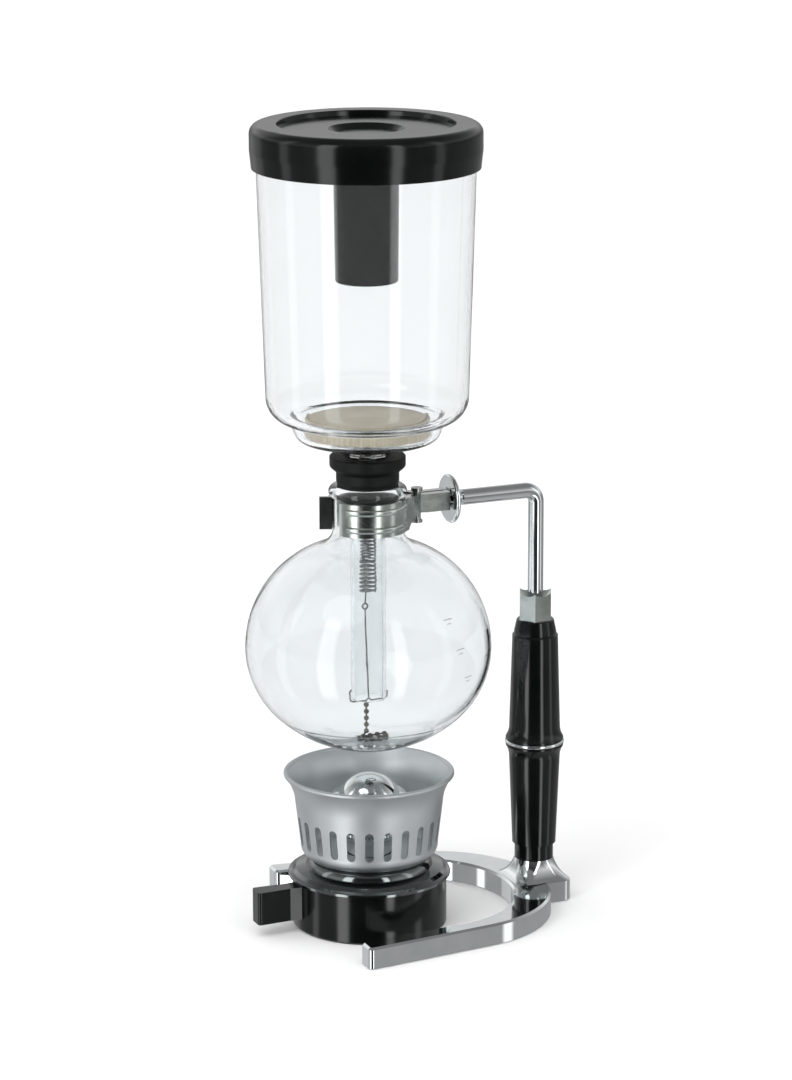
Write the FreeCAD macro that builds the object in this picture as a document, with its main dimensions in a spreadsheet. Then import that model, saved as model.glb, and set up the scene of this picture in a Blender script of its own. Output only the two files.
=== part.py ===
import FreeCAD, Part
import math
import os

import Sketcher

# Siphon coffee maker: a stand with a clamped glass bowl, a glass upper chamber with a rubber
# stopper and a cloth filter, a lid, and a spirit burner that slides out of the stand.
#
# Frame: millimetres, +Z up, origin on the common vertical axis of both glass chambers and the
# burner, at table height. +X points from that axis towards the handle post, so the open end of
# the horseshoe base and the burner's handle face -X.

SIZES = [
    # The whole stack, heights above the table
    ("overall_height", 378.0, "table to the lid's top"),
    ("bowl_widest_height", 134.2, "table to the lower bowl's widest circle"),
    ("arm_height", 200.5, "table to the clamp arm's centre line"),
    ("stem_foot_height", 109.0, "table to the stem's open lower end"),
    ("stopper_foot_height", 191.0, "table to the stopper's lower end"),
    ("post_offset", 85.3, "common axis to the post's axis"),
    # Lid and its hanging tube, which doubles as a stand for the upper chamber
    ("lid_height", 20.0, ""),
    ("lid_radius", 52.75, "widest"),
    ("lid_foot_radius", 51.9, "skirt at its lower edge"),
    ("lid_bore_radius", 50.75, "inside of the skirt"),
    ("lid_edge_round", 4.4, "rounded shoulder"),
    ("lid_dish_radius", 40.4, "raised rim's inner edge"),
    ("lid_dish_depth", 2.3, ""),
    ("lid_recess_radius", 17.15, "centre recess at its top"),
    ("lid_recess_depth", 2.0, ""),
    ("lid_wall", 2.0, "plastic thickness"),
    ("lid_ledge_height", 12.3, "skirt edge to the ledge that sits on the glass"),
    ("lid_ledge_radius", 46.5, ""),
    ("tube_top_radius", 15.1, ""),
    ("tube_foot_radius", 14.4, ""),
    ("tube_wall", 1.65, ""),
    ("tube_length", 65.7, ""),
    ("spigot_length", 4.7, "ring under the lid that locates the tube"),
    # Upper glass chamber
    ("glass_wall", 2.0, "upper chamber"),
    ("stem_radius", 8.2, "outside"),
    ("stem_wall", 1.5, ""),
    ("funnel_height", 117.5, "stem foot to where the funnel starts"),
    ("seat_radius", 32.4, "filter seat at its floor, outside"),
    ("seat_height", 124.0, "stem foot to the seat's floor, outside"),
    ("step_radius", 35.8, "top of the seat's wall"),
    ("step_height", 132.2, "stem foot to the chamber's shoulder"),
    ("shoulder_radius", 46.2, "where the shoulder meets the wall"),
    ("shoulder_height", 134.5, ""),
    ("chamber_radius", 50.2, "outside, at the rim"),
    ("chamber_height", 261.0, "stem foot to the rim"),
    ("shoulder_round", 11.4, "outside corner under the wall"),
    ("seat_round", 5.5, "corner of the seat's floor"),
    ("step_round", 1.2, "corner where the seat's wall meets the shoulder"),
    ("stem_round", 3.0, "stem into funnel"),
    ("rim_round", 0.9, ""),
    # Rubber stopper
    ("stopper_height", 34.0, ""),
    ("stopper_foot_radius", 12.4, ""),
    ("stopper_throat_radius", 14.1, "inside the bowl's lip"),
    ("stopper_neck_radius", 14.55, "between lip and flange"),
    ("stopper_flange_radius", 17.55, ""),
    ("stopper_flange", 6.0, "thickness"),
    ("stopper_bore_radius", 8.23, ""),
    # Lower glass bowl, three arcs tangent to each other
    ("bowl_radius", 57.1, "outside, widest"),
    ("bowl_wall", 1.5, ""),
    ("bowl_side_round", 43.3, "arc below the widest circle"),
    ("bowl_join_angle", 47.3, "where that arc meets the bottom arc, below level"),
    ("bowl_top_round", 51.0, "arc above the widest circle"),
    ("bowl_neck_round", 10.0, "hollow arc into the neck"),
    ("neck_radius", 16.0, "outside"),
    ("lip_radius", 18.1, "outside"),
    ("lip_round", 2.9, "bead of the rolled lip"),
    ("lip_height", 208.3, "table to the bead's centre"),
    # Clamp
    ("jaw_bore_radius", 16.4, ""),
    ("jaw_thickness", 1.9, ""),
    ("jaw_height", 15.3, ""),
    ("jaw_foot_height", 190.0, "table to the jaws' lower edge"),
    ("jaw_end_angle", 22.0, "free end, from -X"),
    ("jaw_root_angle", 34.0, "where the ring turns into the tail, from +X"),
    ("jaw_inner_angle", 18.0, "inner corner at the tail, from +X"),
    ("tail_radius", 4.3, "half height of the tail"),
    ("tail_gap", 0.8, "half the gap between the two tails"),
    ("tail_width", 4.7, "outer side of a tail from the arm's centre line"),
    ("tail_end", 39.4, "common axis to the tails' ends"),
    ("tail_start", 27.5, "where the jaw has narrowed to the tail"),
    ("pin_offset", 24.5, "common axis to the jaw pin"),
    ("pin_radius", 1.9, ""),
    ("pin_hole_radius", 2.0, ""),
    ("stud_radius", 1.95, ""),
    ("stud_channel_radius", 3.3, "hollow between the tails"),
    ("rib_round", 1.5, "half height of an embossed rib"),
    ("rib_rise", 0.8, "how far a rib stands proud"),
    ("low_rib_height", 3.4, "jaw's lower edge to the lower rib"),
    ("high_rib_height", 11.6, "jaw's lower edge to the upper rib"),
    ("rib_sweep", 108.0, "degrees of arc"),
    ("lug_reach", 4.0, "outward-turned end of the rear jaw"),
    ("disc_radius", 11.4, "lock nut's flange"),
    ("disc_thickness", 2.3, ""),
    ("disc_offset", 40.0, "common axis to the lock nut's flange"),
    # Support rod, collar and handle
    ("rod_radius", 3.65, ""),
    ("rod_bend", 5.6, "centre-line radius"),
    ("rod_foot_height", 3.0, ""),
    ("rod_end", 47.0, "common axis to the arm's end"),
    ("rod_hole_radius", 3.7, ""),
    ("collar_height", 13.5, ""),
    ("collar_corner_radius", 8.5, ""),
    ("collar_dish_depth", 4.2, ""),
    ("grip_top_height", 138.0, "table to the upper grip's top"),
    ("grip_ring_height", 77.0, "table to the ring's lower face"),
    ("grip_ring_thickness", 2.0, ""),
    ("grip_ring_radius", 14.0, ""),
    ("grip_flare_radius", 13.7, "grips where they meet the ring"),
    ("grip_radius", 12.1, "grips just off the flare"),
    ("grip_flare_height", 5.0, ""),
    ("grip_shoulder_radius", 10.8, "upper grip under its cap"),
    ("grip_cap_radius", 10.0, ""),
    ("grip_cap_top_radius", 8.75, ""),
    ("grip_cap_height", 7.4, ""),
    ("grip_foot_radius", 10.35, "lower grip above its foot"),
    ("foot_collar_radius", 9.2, ""),
    ("foot_collar_height", 7.0, ""),
    # Base
    ("flare_height", 20.0, "table to the foot flare's top"),
    ("base_lift", 0.5, "table to the casting, on its pads"),
    ("base_height", 10.5, "table to the casting's flat top"),
    ("base_outer_round", 57.0, "outer arc"),
    ("base_outer_centre", 31.6, "common axis to that arc's centre"),
    ("base_inner_round", 49.6, "inner arc"),
    ("base_inner_centre", 20.4, ""),
    ("leg_tip_offset", 26.5, "common axis to the tips, towards -X"),
    ("leg_outer_flare", 6.5, "how far a leg's outer side turns outward, degrees"),
    ("leg_inner_flare", 4.2, ""),
    ("base_bevel", 1.0, ""),
    ("tip_round", 2.2, "corners of the leg tips"),
    ("foot_half_width", 14.3, "square foot under the post"),
    ("foot_round", 5.0, "corners of the foot"),
    ("flare_radius", 9.3, "top of the flare"),
    ("flare_waist", 11.2, "half width part of the way up"),
    ("pad_radius", 4.0, ""),
    ("pad_thickness", 1.5, ""),
    ("nut_radius", 5.5, "hex nut under the foot, to its corners"),
    ("nut_thickness", 4.0, ""),
    # Burner
    ("housing_radius", 36.25, ""),
    ("housing_height", 23.8, ""),
    ("housing_wall", 2.6, ""),
    ("handle_reach", 57.6, "common axis to the burner handle's end"),
    ("handle_width", 9.0, ""),
    ("handle_foot", 6.4, ""),
    ("handle_top", 22.2, ""),
    ("cover_radius", 38.1, "rim of the stepped cover"),
    ("cover_thickness", 0.9, ""),
    ("cover_height", 9.4, ""),
    ("cover_step_radius", 35.2, ""),
    ("cover_top_radius", 29.5, ""),
    ("wick_hole_radius", 11.0, "hole in cover and windshield"),
    ("shield_foot_height", 33.2, "table to the windshield's floor"),
    ("shield_foot_radius", 29.0, ""),
    ("shield_low_radius", 32.2, "wall above the corner"),
    ("shield_low_height", 6.0, ""),
    ("shield_waist_radius", 34.6, ""),
    ("shield_waist_height", 26.0, ""),
    ("shield_rim_radius", 39.0, ""),
    ("shield_rim_height", 38.5, ""),
    ("shield_wall", 1.0, ""),
    ("shield_bead", 1.15, "radius of the rolled rim"),
    ("shield_corner", 3.2, ""),
    ("slot_width", 3.9, ""),
    ("slot_foot", 5.9, "windshield's floor to the slots"),
    ("slot_length", 14.5, ""),
    ("slot_count", 24, ""),
    ("slot_turn", 7.5, "first slot from +X, degrees"),
    ("tank_radius", 31.5, ""),
    ("tank_height", 16.0, ""),
    ("tank_wall", 0.8, ""),
    ("tank_foot_height", 2.6, ""),
    ("holder_radius", 10.4, "wick holder"),
    ("holder_bore_radius", 5.1, ""),
    ("holder_foot_height", 12.0, ""),
    ("holder_top_height", 58.0, ""),
    ("holder_flange_radius", 13.0, "flange that sits on the tank"),
    ("holder_flange_thickness", 1.2, ""),
    ("holder_collar_radius", 13.6, "shoulder that carries the cap"),
    ("holder_collar_height", 44.0, ""),
    ("wick_radius", 4.9, ""),
    ("wick_foot_height", 6.0, ""),
    ("wick_top_height", 63.0, ""),
    ("cap_radius", 14.3, "snuffer cap's dome"),
    ("cap_skirt_radius", 12.4, ""),
    ("cap_wall", 0.8, ""),
    ("cap_flange_radius", 17.6, ""),
    ("cap_flange_height", 62.0, "table to the flange"),
    ("cap_top_height", 72.5, ""),
    # Filter
    ("filter_radius", 29.35, "over the cloth"),
    ("filter_foot_height", 234.9, "table to the cloth's underside"),
    ("filter_thickness", 7.2, ""),
    ("cloth_thickness", 0.8, ""),
    ("cloth_opening_radius", 11.0, "gathered opening underneath"),
    ("cloth_round", 1.8, ""),
    ("plate_radius", 27.9, "the two filter plates"),
    ("plate_thickness", 1.0, ""),
    ("plate_hole_radius", 3.0, ""),
    ("plate_hole_circle", 19.0, ""),
    ("plate_hole_count", 10, ""),
    ("bolt_radius", 1.6, "bolt through the plates"),
    ("bolt_length", 13.0, ""),
    ("bolt_head_radius", 4.0, ""),
    ("spring_radius", 3.5, "to the wire's centre"),
    ("spring_wire", 0.5, "wire radius"),
    ("spring_pitch", 1.95, ""),
    ("spring_foot_height", 160.0, ""),
    ("spring_turns", 36, ""),
    ("bead_radius", 1.25, ""),
    ("bead_pitch", 3.3, ""),
    ("bead_link", 0.45, "link wire radius"),
    ("wire_radius", 0.4, "filter's pull wire"),
]

doc = FreeCAD.newDocument("siphon_coffee_maker")
sheet = doc.addObject("Spreadsheet::Sheet", "Sizes")
for row, (alias, value, meaning) in enumerate(SIZES, 1):
    sheet.set(f"A{row}", alias)
    sheet.set(f"B{row}", str(value))
    sheet.set(f"C{row}", meaning)
    sheet.setAlias(f"B{row}", alias)
doc.recompute()


# ---------------------------------------------------------------- sizes that keep their formula


class Size:
    """A value with the spreadsheet expression that it comes from."""

    def __init__(self, value, text):
        self.value = float(value)
        self.text = text

    def __add__(self, other):
        other = sized(other)
        return Size(self.value + other.value, f"({self.text} + {other.text})")

    def __sub__(self, other):
        other = sized(other)
        return Size(self.value - other.value, f"({self.text} - {other.text})")

    def __mul__(self, other):
        other = sized(other)
        return Size(self.value * other.value, f"({self.text} * {other.text})")

    def __truediv__(self, other):
        other = sized(other)
        return Size(self.value / other.value, f"({self.text} / {other.text})")

    def __radd__(self, other):
        return sized(other) + self

    def __rsub__(self, other):
        return sized(other) - self

    def __rmul__(self, other):
        return sized(other) * self

    def __neg__(self):
        return 0 - self


def sized(number):
    """A Size, made from a plain number if it is one."""
    return number if isinstance(number, Size) else Size(number, f"({number})")


def root(size):
    return Size(math.sqrt(size.value), f"sqrt({size.text})")


def sine(angle):
    return Size(math.sin(math.radians(angle.value)), f"sin({angle.text})")


def cosine(angle):
    return Size(math.cos(math.radians(angle.value)), f"cos({angle.text})")


class Driving:
    """The sheet's cells as attributes: dim.lid_height is the Size of the cell lid_height."""

    def __getattr__(self, alias):
        return Size(sheet.get(alias), f"Sizes.{alias}")


dim = Driving()


def bind(target, path, size):
    """Ties a property to the expression of a size."""
    target.setExpression(path, sized(size).text)


# ---------------------------------------------------------------- bodies, sketches and features

parts = []


def place(thing, x=0, y=0, z=0, turn=None):
    """Puts a sub-part in the row frame; turn is (axis, degrees) and x, y, z may be Sizes."""
    x, y, z = sized(x), sized(y), sized(z)
    rotation = FreeCAD.Rotation(*turn) if turn else FreeCAD.Rotation()
    thing.Placement = FreeCAD.Placement(FreeCAD.Vector(x.value, y.value, z.value), rotation)
    for axis, size in (("x", x), ("y", y), ("z", z)):
        bind(thing, f"Placement.Base.{axis}", size)


def new_body(label, **where):
    body = doc.addObject("PartDesign::Body", label)
    body.Label = label
    place(body, **where)
    parts.append(body)
    return body


def origin_feature(body, role):
    """One of the body's own origin planes or axes, by its role."""
    return next(f for f in body.Origin.OriginFeatures if f.Role == role)


def line(x, y):
    return ("line", sized(x), sized(y), None)


def left(x, y, radius):
    """An arc to x, y that turns left, so its centre is on the left of the way."""
    return ("left", sized(x), sized(y), sized(radius))


def right(x, y, radius):
    return ("right", sized(x), sized(y), sized(radius))


def mirrored(steps):
    """The same outline with y reversed."""
    swap = {"line": "line", "left": "right", "right": "left"}
    return [(swap[kind], x, -y, radius) for kind, x, y, radius in steps]


def arc_geometry(start, end, radius, turn):
    """The arc of under half a turn from start to end, always stored counter-clockwise."""
    chord = end - start
    normal = FreeCAD.Vector(-chord.y, chord.x, 0).normalize()
    offset = math.sqrt(max(radius**2 - (chord.Length / 2) ** 2, 0))
    centre = (start + end) / 2 + normal * (offset if turn == "left" else -offset)
    first, last = (start, end) if turn == "left" else (end, start)
    angles = [math.atan2(p.y - centre.y, p.x - centre.x) for p in (first, last)]
    if angles[1] < angles[0]:
        angles[1] += 2 * math.pi
    circle = Part.Circle(centre, FreeCAD.Vector(0, 0, 1), radius)
    return Part.ArcOfCircle(circle, *angles)


def new_sketch(body, plane, name):
    sketch = body.newObject("Sketcher::SketchObject", name)
    sketch.AttachmentSupport = (origin_feature(body, plane), [""])
    sketch.MapMode = "FlatFace"
    return sketch


def constrain(sketch, limits):
    """Adds the constraints in one go, then ties each dimension to its expression."""
    first = len(sketch.Constraints)
    sketch.addConstraint([constraint for constraint, size in limits])
    for index, (constraint, size) in enumerate(limits, first):
        if size is not None:
            bind(sketch, f"Constraints[{index}]", size)


def point_at(geometry, end, x, y):
    """Constraints that hold one sketch point at x, y; a zero puts it on the axis."""
    limits = []
    for kind, axis, size in (("DistanceX", -2, sized(x)), ("DistanceY", -1, sized(y))):
        if size.value == 0:
            limits.append((Sketcher.Constraint("PointOnObject", geometry, end, axis), None))
        else:
            constraint = Sketcher.Constraint(kind, -1, 1, geometry, end, size.value)
            limits.append((constraint, size))
    return limits


def outline(body, plane, steps, name="Outline"):
    """A closed chain of lines and arcs through the steps, each corner dimensioned."""
    sketch = new_sketch(body, plane, name)
    corners = [FreeCAD.Vector(x.value, y.value, 0) for kind, x, y, radius in steps]
    limits = []
    ends = []
    for index, (kind, x, y, radius) in enumerate(steps):
        start, end = corners[index - 1], corners[index]
        if kind == "line":
            geometry = sketch.addGeometry(Part.LineSegment(start, end), False)
            ends.append((geometry, 1, 2))
        else:
            geometry = sketch.addGeometry(arc_geometry(start, end, radius.value, kind), False)
            ends.append((geometry, 1, 2) if kind == "left" else (geometry, 2, 1))
            limits.append((Sketcher.Constraint("Radius", geometry, radius.value), radius))
        limits += point_at(geometry, ends[-1][2], x, y)
    for index, (geometry, start, end) in enumerate(ends):
        before, before_start, before_end = ends[index - 1]
        joint = Sketcher.Constraint("Coincident", before, before_end, geometry, start)
        limits.append((joint, None))
    constrain(sketch, limits)
    return sketch


def circles(body, plane, rings, name="Circles"):
    """A sketch of circles given as (x, y, radius)."""
    sketch = new_sketch(body, plane, name)
    limits = []
    for x, y, radius in rings:
        centre = FreeCAD.Vector(sized(x).value, sized(y).value, 0)
        shape = Part.Circle(centre, FreeCAD.Vector(0, 0, 1), sized(radius).value)
        geometry = sketch.addGeometry(shape, False)
        limits += point_at(geometry, 3, x, y)
        ring = Sketcher.Constraint("Radius", geometry, sized(radius).value)
        limits.append((ring, sized(radius)))
    constrain(sketch, limits)
    return sketch


def rectangle(x0, x1, y0, y1):
    return [line(x1, y0), line(x1, y1), line(x0, y1), line(x0, y0)]


def rounded_square(half, round_):
    """A square with rounded corners as outline steps, counter-clockwise."""
    straight = half - round_
    return [
        line(straight, -half),
        left(half, -straight, round_),
        line(half, straight),
        left(straight, half, round_),
        line(-straight, half),
        left(-half, straight, round_),
        line(-half, -straight),
        left(-straight, -half, round_),
    ]


def hexagon(corner, first_angle=0.0):
    """A regular hexagon's corners as outline steps."""
    angles = [math.radians(first_angle + 60 * k) for k in range(6)]
    return [line(corner * math.cos(a), corner * math.sin(a)) for a in angles]


def add(body, kind, sketch, name, size=None, **options):
    """A sketch-based feature; size is bound to its Length."""
    feature = body.newObject(f"PartDesign::{kind}", name)
    feature.Profile = sketch
    for key, value in options.items():
        setattr(feature, key, value)
    if size is not None:
        bind(feature, "Length", size)
    return feature


def volume_after(body, message, cuts):
    """Recomputes and stops if the last feature didn't add or remove material as it should."""
    before = volume_after.last.get(body.Name)
    doc.recompute()
    now = body.Shape.Volume
    if before is not None and (now < before) != cuts:
        raise RuntimeError(f"{body.Label}: {message} left {before:.1f} as {now:.1f}")
    volume_after.last[body.Name] = now


volume_after.last = {}


def turn_about(body, sketch, name="Turned", kind="Revolution"):
    return add(body, kind, sketch, name, ReferenceAxis=(sketch, ["V_Axis"]), Angle=360)


def turned(label, steps, **where):
    """A body of revolution about its own Z axis, from an outline of (radius, height)."""
    body = new_body(label, **where)
    turn_about(body, outline(body, "XZ_Plane", steps))
    volume_after(body, "turning", cuts=False)
    return body


def round_rims(body, rims, size, kind="Fillet"):
    """Fillets or chamfers the circular edges at each (radius, height) of the body's frame."""
    wanted = [(sized(r).value, sized(z).value) for r, z in rims]
    names = []
    for index, edge in enumerate(body.Tip.Shape.Edges, 1):
        if not isinstance(edge.Curve, Part.Circle):
            continue
        height = edge.Curve.Center.z
        if any(abs(edge.Curve.Radius - r) < 0.01 and abs(height - z) < 0.01 for r, z in wanted):
            names.append(f"Edge{index}")
    dress(body, names, size, kind)


def dress(body, names, size, kind="Fillet"):
    if not names:
        raise RuntimeError(f"{body.Label}: no edges to {kind.lower()}")
    base = body.Tip
    feature = body.newObject(f"PartDesign::{kind}", kind)
    feature.Base = (base, names)
    bind(feature, "Radius" if kind == "Fillet" else "Size", size)
    doc.recompute()
    volume_after.last[body.Name] = body.Shape.Volume


def cut(body, sketch, name, size=None, **options):
    feature = add(body, "Pocket", sketch, name, size, **options)
    volume_after(body, name, cuts=True)
    return feature


def repeat_round(body, feature, count, name="Repeat"):
    """Repeats a feature round the body's Z axis."""
    pattern = body.newObject("PartDesign::PolarPattern", name)
    pattern.Originals = [feature]
    pattern.Axis = (origin_feature(body, "Z_Axis"), [""])
    pattern.Angle = 360
    bind(pattern, "Occurrences", count)
    body.Tip = pattern
    doc.recompute()
    volume_after.last[body.Name] = body.Shape.Volume
    return pattern


def freeform(label, shape, **where):
    """A sub-part whose shape is made with Part's own functions from the sheet's values."""
    thing = doc.addObject("Part::Feature", label)
    thing.Label = label
    thing.Shape = shape
    place(thing, **where)
    parts.append(thing)
    return thing


def bent_wire(points, radius):
    """Round wire through the points: straight runs with a ball at every bend."""
    solids = []
    for start, end in zip(points, points[1:]):
        run = end - start
        solids.append(Part.makeCylinder(radius, run.Length, start, run))
    solids += [Part.makeSphere(radius, point) for point in points]
    return solids[0].multiFuse(solids[1:]).removeSplitter()


# ---------------------------------------------------------------- lid


def make_lid():
    base = dim.overall_height - dim.lid_height
    top = dim.lid_height
    dish = top - dim.lid_dish_depth
    floor = dish - dim.lid_recess_depth
    under = floor - dim.lid_wall
    spigot = dim.tube_top_radius - dim.tube_wall - 0.1
    body = turned(
        "lid_cap",
        [
            line(dim.lid_bore_radius, 0),
            line(dim.lid_foot_radius, 0),
            line(dim.lid_radius, top * 0.4),
            line(dim.lid_radius, top - dim.lid_edge_round),
            left(dim.lid_radius - dim.lid_edge_round, top, dim.lid_edge_round),
            line(dim.lid_dish_radius, top),
            line(dim.lid_dish_radius - 0.5, dish),
            line(dim.lid_recess_radius, dish),
            line(dim.lid_recess_radius - dim.lid_recess_depth, floor),
            line(0, floor),
            line(0, under),
            line(spigot - 1.3, under),
            line(spigot - 1.3, under - dim.spigot_length),
            line(spigot, under - dim.spigot_length),
            line(spigot, under),
            line(dim.lid_recess_radius - 1.2, under),
            line(dim.lid_recess_radius + 0.5, floor),
            line(dim.lid_ledge_radius, floor),
            line(dim.lid_ledge_radius, dim.lid_ledge_height),
            line(dim.lid_bore_radius, dim.lid_ledge_height),
        ],
        z=base,
    )
    round_rims(body, [(dim.lid_dish_radius, top)], sized(0.5))
    round_rims(body, [(dim.lid_recess_radius, dish)], sized(0.6))

    tube_base = base + under - dim.tube_length
    wall = dim.tube_wall
    tube = turned(
        "lid_stand_tube",
        [
            line(dim.tube_foot_radius - wall, 0),
            line(dim.tube_foot_radius, 0),
            line(dim.tube_top_radius, dim.tube_length),
            line(dim.tube_top_radius - wall, dim.tube_length),
        ],
        z=tube_base,
    )
    round_rims(tube, [(dim.tube_foot_radius, 0)], sized(0.8))


# ---------------------------------------------------------------- upper chamber


def make_upper_chamber():
    wall, stem_wall = dim.glass_wall, dim.stem_wall
    inner_stem = dim.stem_radius - stem_wall
    body = turned(
        "upper_bowl",
        [
            line(dim.stem_radius, 0),
            line(dim.stem_radius, dim.funnel_height),
            line(dim.seat_radius, dim.seat_height),
            line(dim.step_radius, dim.step_height),
            line(dim.shoulder_radius, dim.shoulder_height),
            line(dim.chamber_radius, dim.chamber_height),
            line(dim.chamber_radius - wall, dim.chamber_height),
            line(dim.shoulder_radius - wall, dim.shoulder_height + wall),
            line(dim.step_radius - wall, dim.step_height + wall),
            line(dim.seat_radius - wall, dim.seat_height + wall),
            line(inner_stem, dim.funnel_height + wall),
            line(inner_stem, 0),
        ],
        z=dim.stem_foot_height,
    )
    outside_shoulder = (dim.shoulder_radius, dim.shoulder_height)
    inside_shoulder = (dim.shoulder_radius - wall, dim.shoulder_height + wall)
    round_rims(body, [outside_shoulder], dim.shoulder_round)
    round_rims(body, [inside_shoulder], dim.shoulder_round - wall)
    round_rims(body, [(dim.seat_radius, dim.seat_height)], dim.seat_round)
    inside_seat = (dim.seat_radius - wall, dim.seat_height + wall)
    round_rims(body, [inside_seat], dim.seat_round - wall)
    inside_step = (dim.step_radius - wall, dim.step_height + wall)
    round_rims(body, [(dim.step_radius, dim.step_height), inside_step], dim.step_round)
    stem_top = (dim.stem_radius, dim.funnel_height)
    stem_mouth = (inner_stem, dim.funnel_height + wall)
    round_rims(body, [stem_top, stem_mouth], dim.stem_round)
    rim = [
        (dim.chamber_radius, dim.chamber_height),
        (dim.chamber_radius - wall, dim.chamber_height),
    ]
    round_rims(body, rim, dim.rim_round)

    top = dim.stopper_height
    bore = dim.stopper_bore_radius
    flange_foot = top - dim.stopper_flange
    countersink = dim.stem_round + 0.4
    stopper = turned(
        "rubber_stopper",
        [
            line(bore, 0),
            line(dim.stopper_foot_radius, 0),
            line(dim.stopper_throat_radius, top * 0.5),
            line(dim.stopper_throat_radius, top * 0.62),
            line(dim.stopper_neck_radius, top * 0.66),
            line(dim.stopper_neck_radius, flange_foot - 1.5),
            line(dim.stopper_flange_radius, flange_foot + 1.2),
            line(dim.stopper_flange_radius, top),
            line(bore + countersink, top),
            line(bore, top - countersink),
        ],
        z=dim.stopper_foot_height,
    )
    round_rims(stopper, [(dim.stopper_foot_radius, 0)], sized(1.0))
    round_rims(stopper, [(dim.stopper_flange_radius, top)], sized(0.6))
    round_rims(stopper, [(dim.stopper_flange_radius, flange_foot + 1.2)], sized(1.6))


# ---------------------------------------------------------------- lower bowl


def make_lower_bowl():
    wall = dim.bowl_wall
    side, upper, hollow = dim.bowl_side_round, dim.bowl_top_round, dim.bowl_neck_round
    down_cos, down_sin = cosine(dim.bowl_join_angle), sine(dim.bowl_join_angle)
    bottom = side + (dim.bowl_radius - side) / down_cos
    widest = bottom - (bottom - side) * down_sin
    base = dim.bowl_widest_height - widest

    # The hollow arc's centre is over the top arc's end, a neck radius and its own from the axis.
    run = dim.neck_radius + hollow - dim.bowl_radius + upper
    rise = root((upper + hollow) * (upper + hollow) - run * run)
    neck_foot = widest + rise
    lip = dim.lip_height - base
    lip_centre = dim.lip_radius - dim.lip_round

    def join(gap):
        """Where the bottom and side arcs meet, gap inside the outer surface."""
        reach = side - gap
        return dim.bowl_radius - side + reach * down_cos, widest - reach * down_sin

    def shoulder(gap):
        """Where the top arc meets the hollow arc."""
        share = (upper - gap) / (upper + hollow)
        return dim.bowl_radius - upper + run * share, widest + rise * share

    def bead(radius, sign):
        """Where the bead meets a wall of that radius, above or below its centre."""
        across = radius - lip_centre
        return radius, lip + root(dim.lip_round * dim.lip_round - across * across) * sign

    inner_neck = dim.neck_radius - wall
    turned(
        "lower_bowl",
        [
            line(0, 0),
            left(*join(0), bottom),
            left(dim.bowl_radius, widest, side),
            left(*shoulder(0), upper),
            right(dim.neck_radius, neck_foot, hollow),
            line(*bead(dim.neck_radius, -1)),
            left(*bead(inner_neck, 1), dim.lip_round),
            line(inner_neck, neck_foot),
            left(*shoulder(wall), hollow + wall),
            right(dim.bowl_radius - wall, widest, upper - wall),
            right(*join(wall), side - wall),
            right(0, wall, bottom - wall),
        ],
        z=base,
    )
    return base, bottom


# ---------------------------------------------------------------- clamp


def make_jaw(label, side):
    """One half of the neck clamp; side is 'front' for -Y or 'rear' for +Y."""
    hand = mirrored if side == "front" else list
    sign = -1 if side == "front" else 1
    body = new_body(label, z=dim.jaw_foot_height)
    inner, outer = dim.jaw_bore_radius, dim.jaw_bore_radius + dim.jaw_thickness
    end_cos, end_sin = cosine(dim.jaw_end_angle), sine(dim.jaw_end_angle)
    root_cos, root_sin = cosine(dim.jaw_root_angle), sine(dim.jaw_root_angle)
    inner_cos, inner_sin = cosine(dim.jaw_inner_angle), sine(dim.jaw_inner_angle)
    plan = [
        line(dim.tail_end, dim.tail_gap),
        line(dim.tail_end, dim.tail_width),
        line(dim.pin_offset, dim.tail_width),
        line(outer * root_cos, outer * root_sin),
        left(0, outer, outer),
        left(-outer * end_cos, outer * end_sin, outer),
        line(-inner * end_cos, inner * end_sin),
        right(0, inner, inner),
        right(inner * inner_cos, inner * inner_sin, inner),
        line(dim.pin_offset - dim.pin_radius, dim.tail_gap),
    ]
    sketch = outline(body, "XY_Plane", hand(plan), "Plan")
    add(body, "Pad", sketch, "Band", dim.jaw_height)
    volume_after(body, "band", cuts=False)

    # Above and below the tail the blank is cut away along two hollow curves.
    centre = dim.arm_height - dim.jaw_foot_height
    tail_top, tail_foot = centre + dim.tail_radius, centre - dim.tail_radius
    ring_end = outer * root_cos + 1.5
    far = dim.tail_end + 1
    clear = dim.jaw_height + 1
    above = [
        line(dim.tail_start, tail_top),
        line(far, tail_top),
        line(far, clear),
        line(ring_end, clear),
        line(ring_end, dim.jaw_height),
    ]
    below = [
        line(far, -1),
        line(far, tail_foot),
        line(dim.tail_start, tail_foot),
        left(ring_end, 0, sized(9.5)),
        line(ring_end, -1),
    ]
    for name, steps in (("Above", above), ("Below", below)):
        cut(body, outline(body, "XZ_Plane", steps, name), f"Cut{name}", Type=1, Midplane=True)

    # The two tails close round the stud and turn on the pin.
    channel = circles(body, "YZ_Plane", [(0, centre, dim.stud_channel_radius)], "Channel")
    cut(body, channel, "CutChannel", dim.tail_end + 1, Reversed=True)
    hole = circles(body, "XY_Plane", [(dim.pin_offset, 0, dim.pin_hole_radius)], "Hole")
    cut(body, hole, "CutHole", dim.jaw_height, Reversed=True)

    for height in (dim.low_rib_height, dim.high_rib_height):
        half, rise = dim.rib_round, dim.rib_rise
        bulge = (half * half + rise * rise) / (rise * 2)
        turn = left if sign > 0 else right
        steps = [
            line(outer * sign, height - half),
            turn(outer * sign, height + half, bulge),
            line((outer - 0.5) * sign, height + half),
            line((outer - 0.5) * sign, height - half),
        ]
        rib = outline(body, "YZ_Plane", steps, "Rib")
        axis = (rib, ["V_Axis"])
        feature = add(body, "Revolution", rib, "Rib", ReferenceAxis=axis, Midplane=True)
        bind(feature, "Angle", dim.rib_sweep)
        volume_after(body, "rib", cuts=False)
    return body


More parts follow.
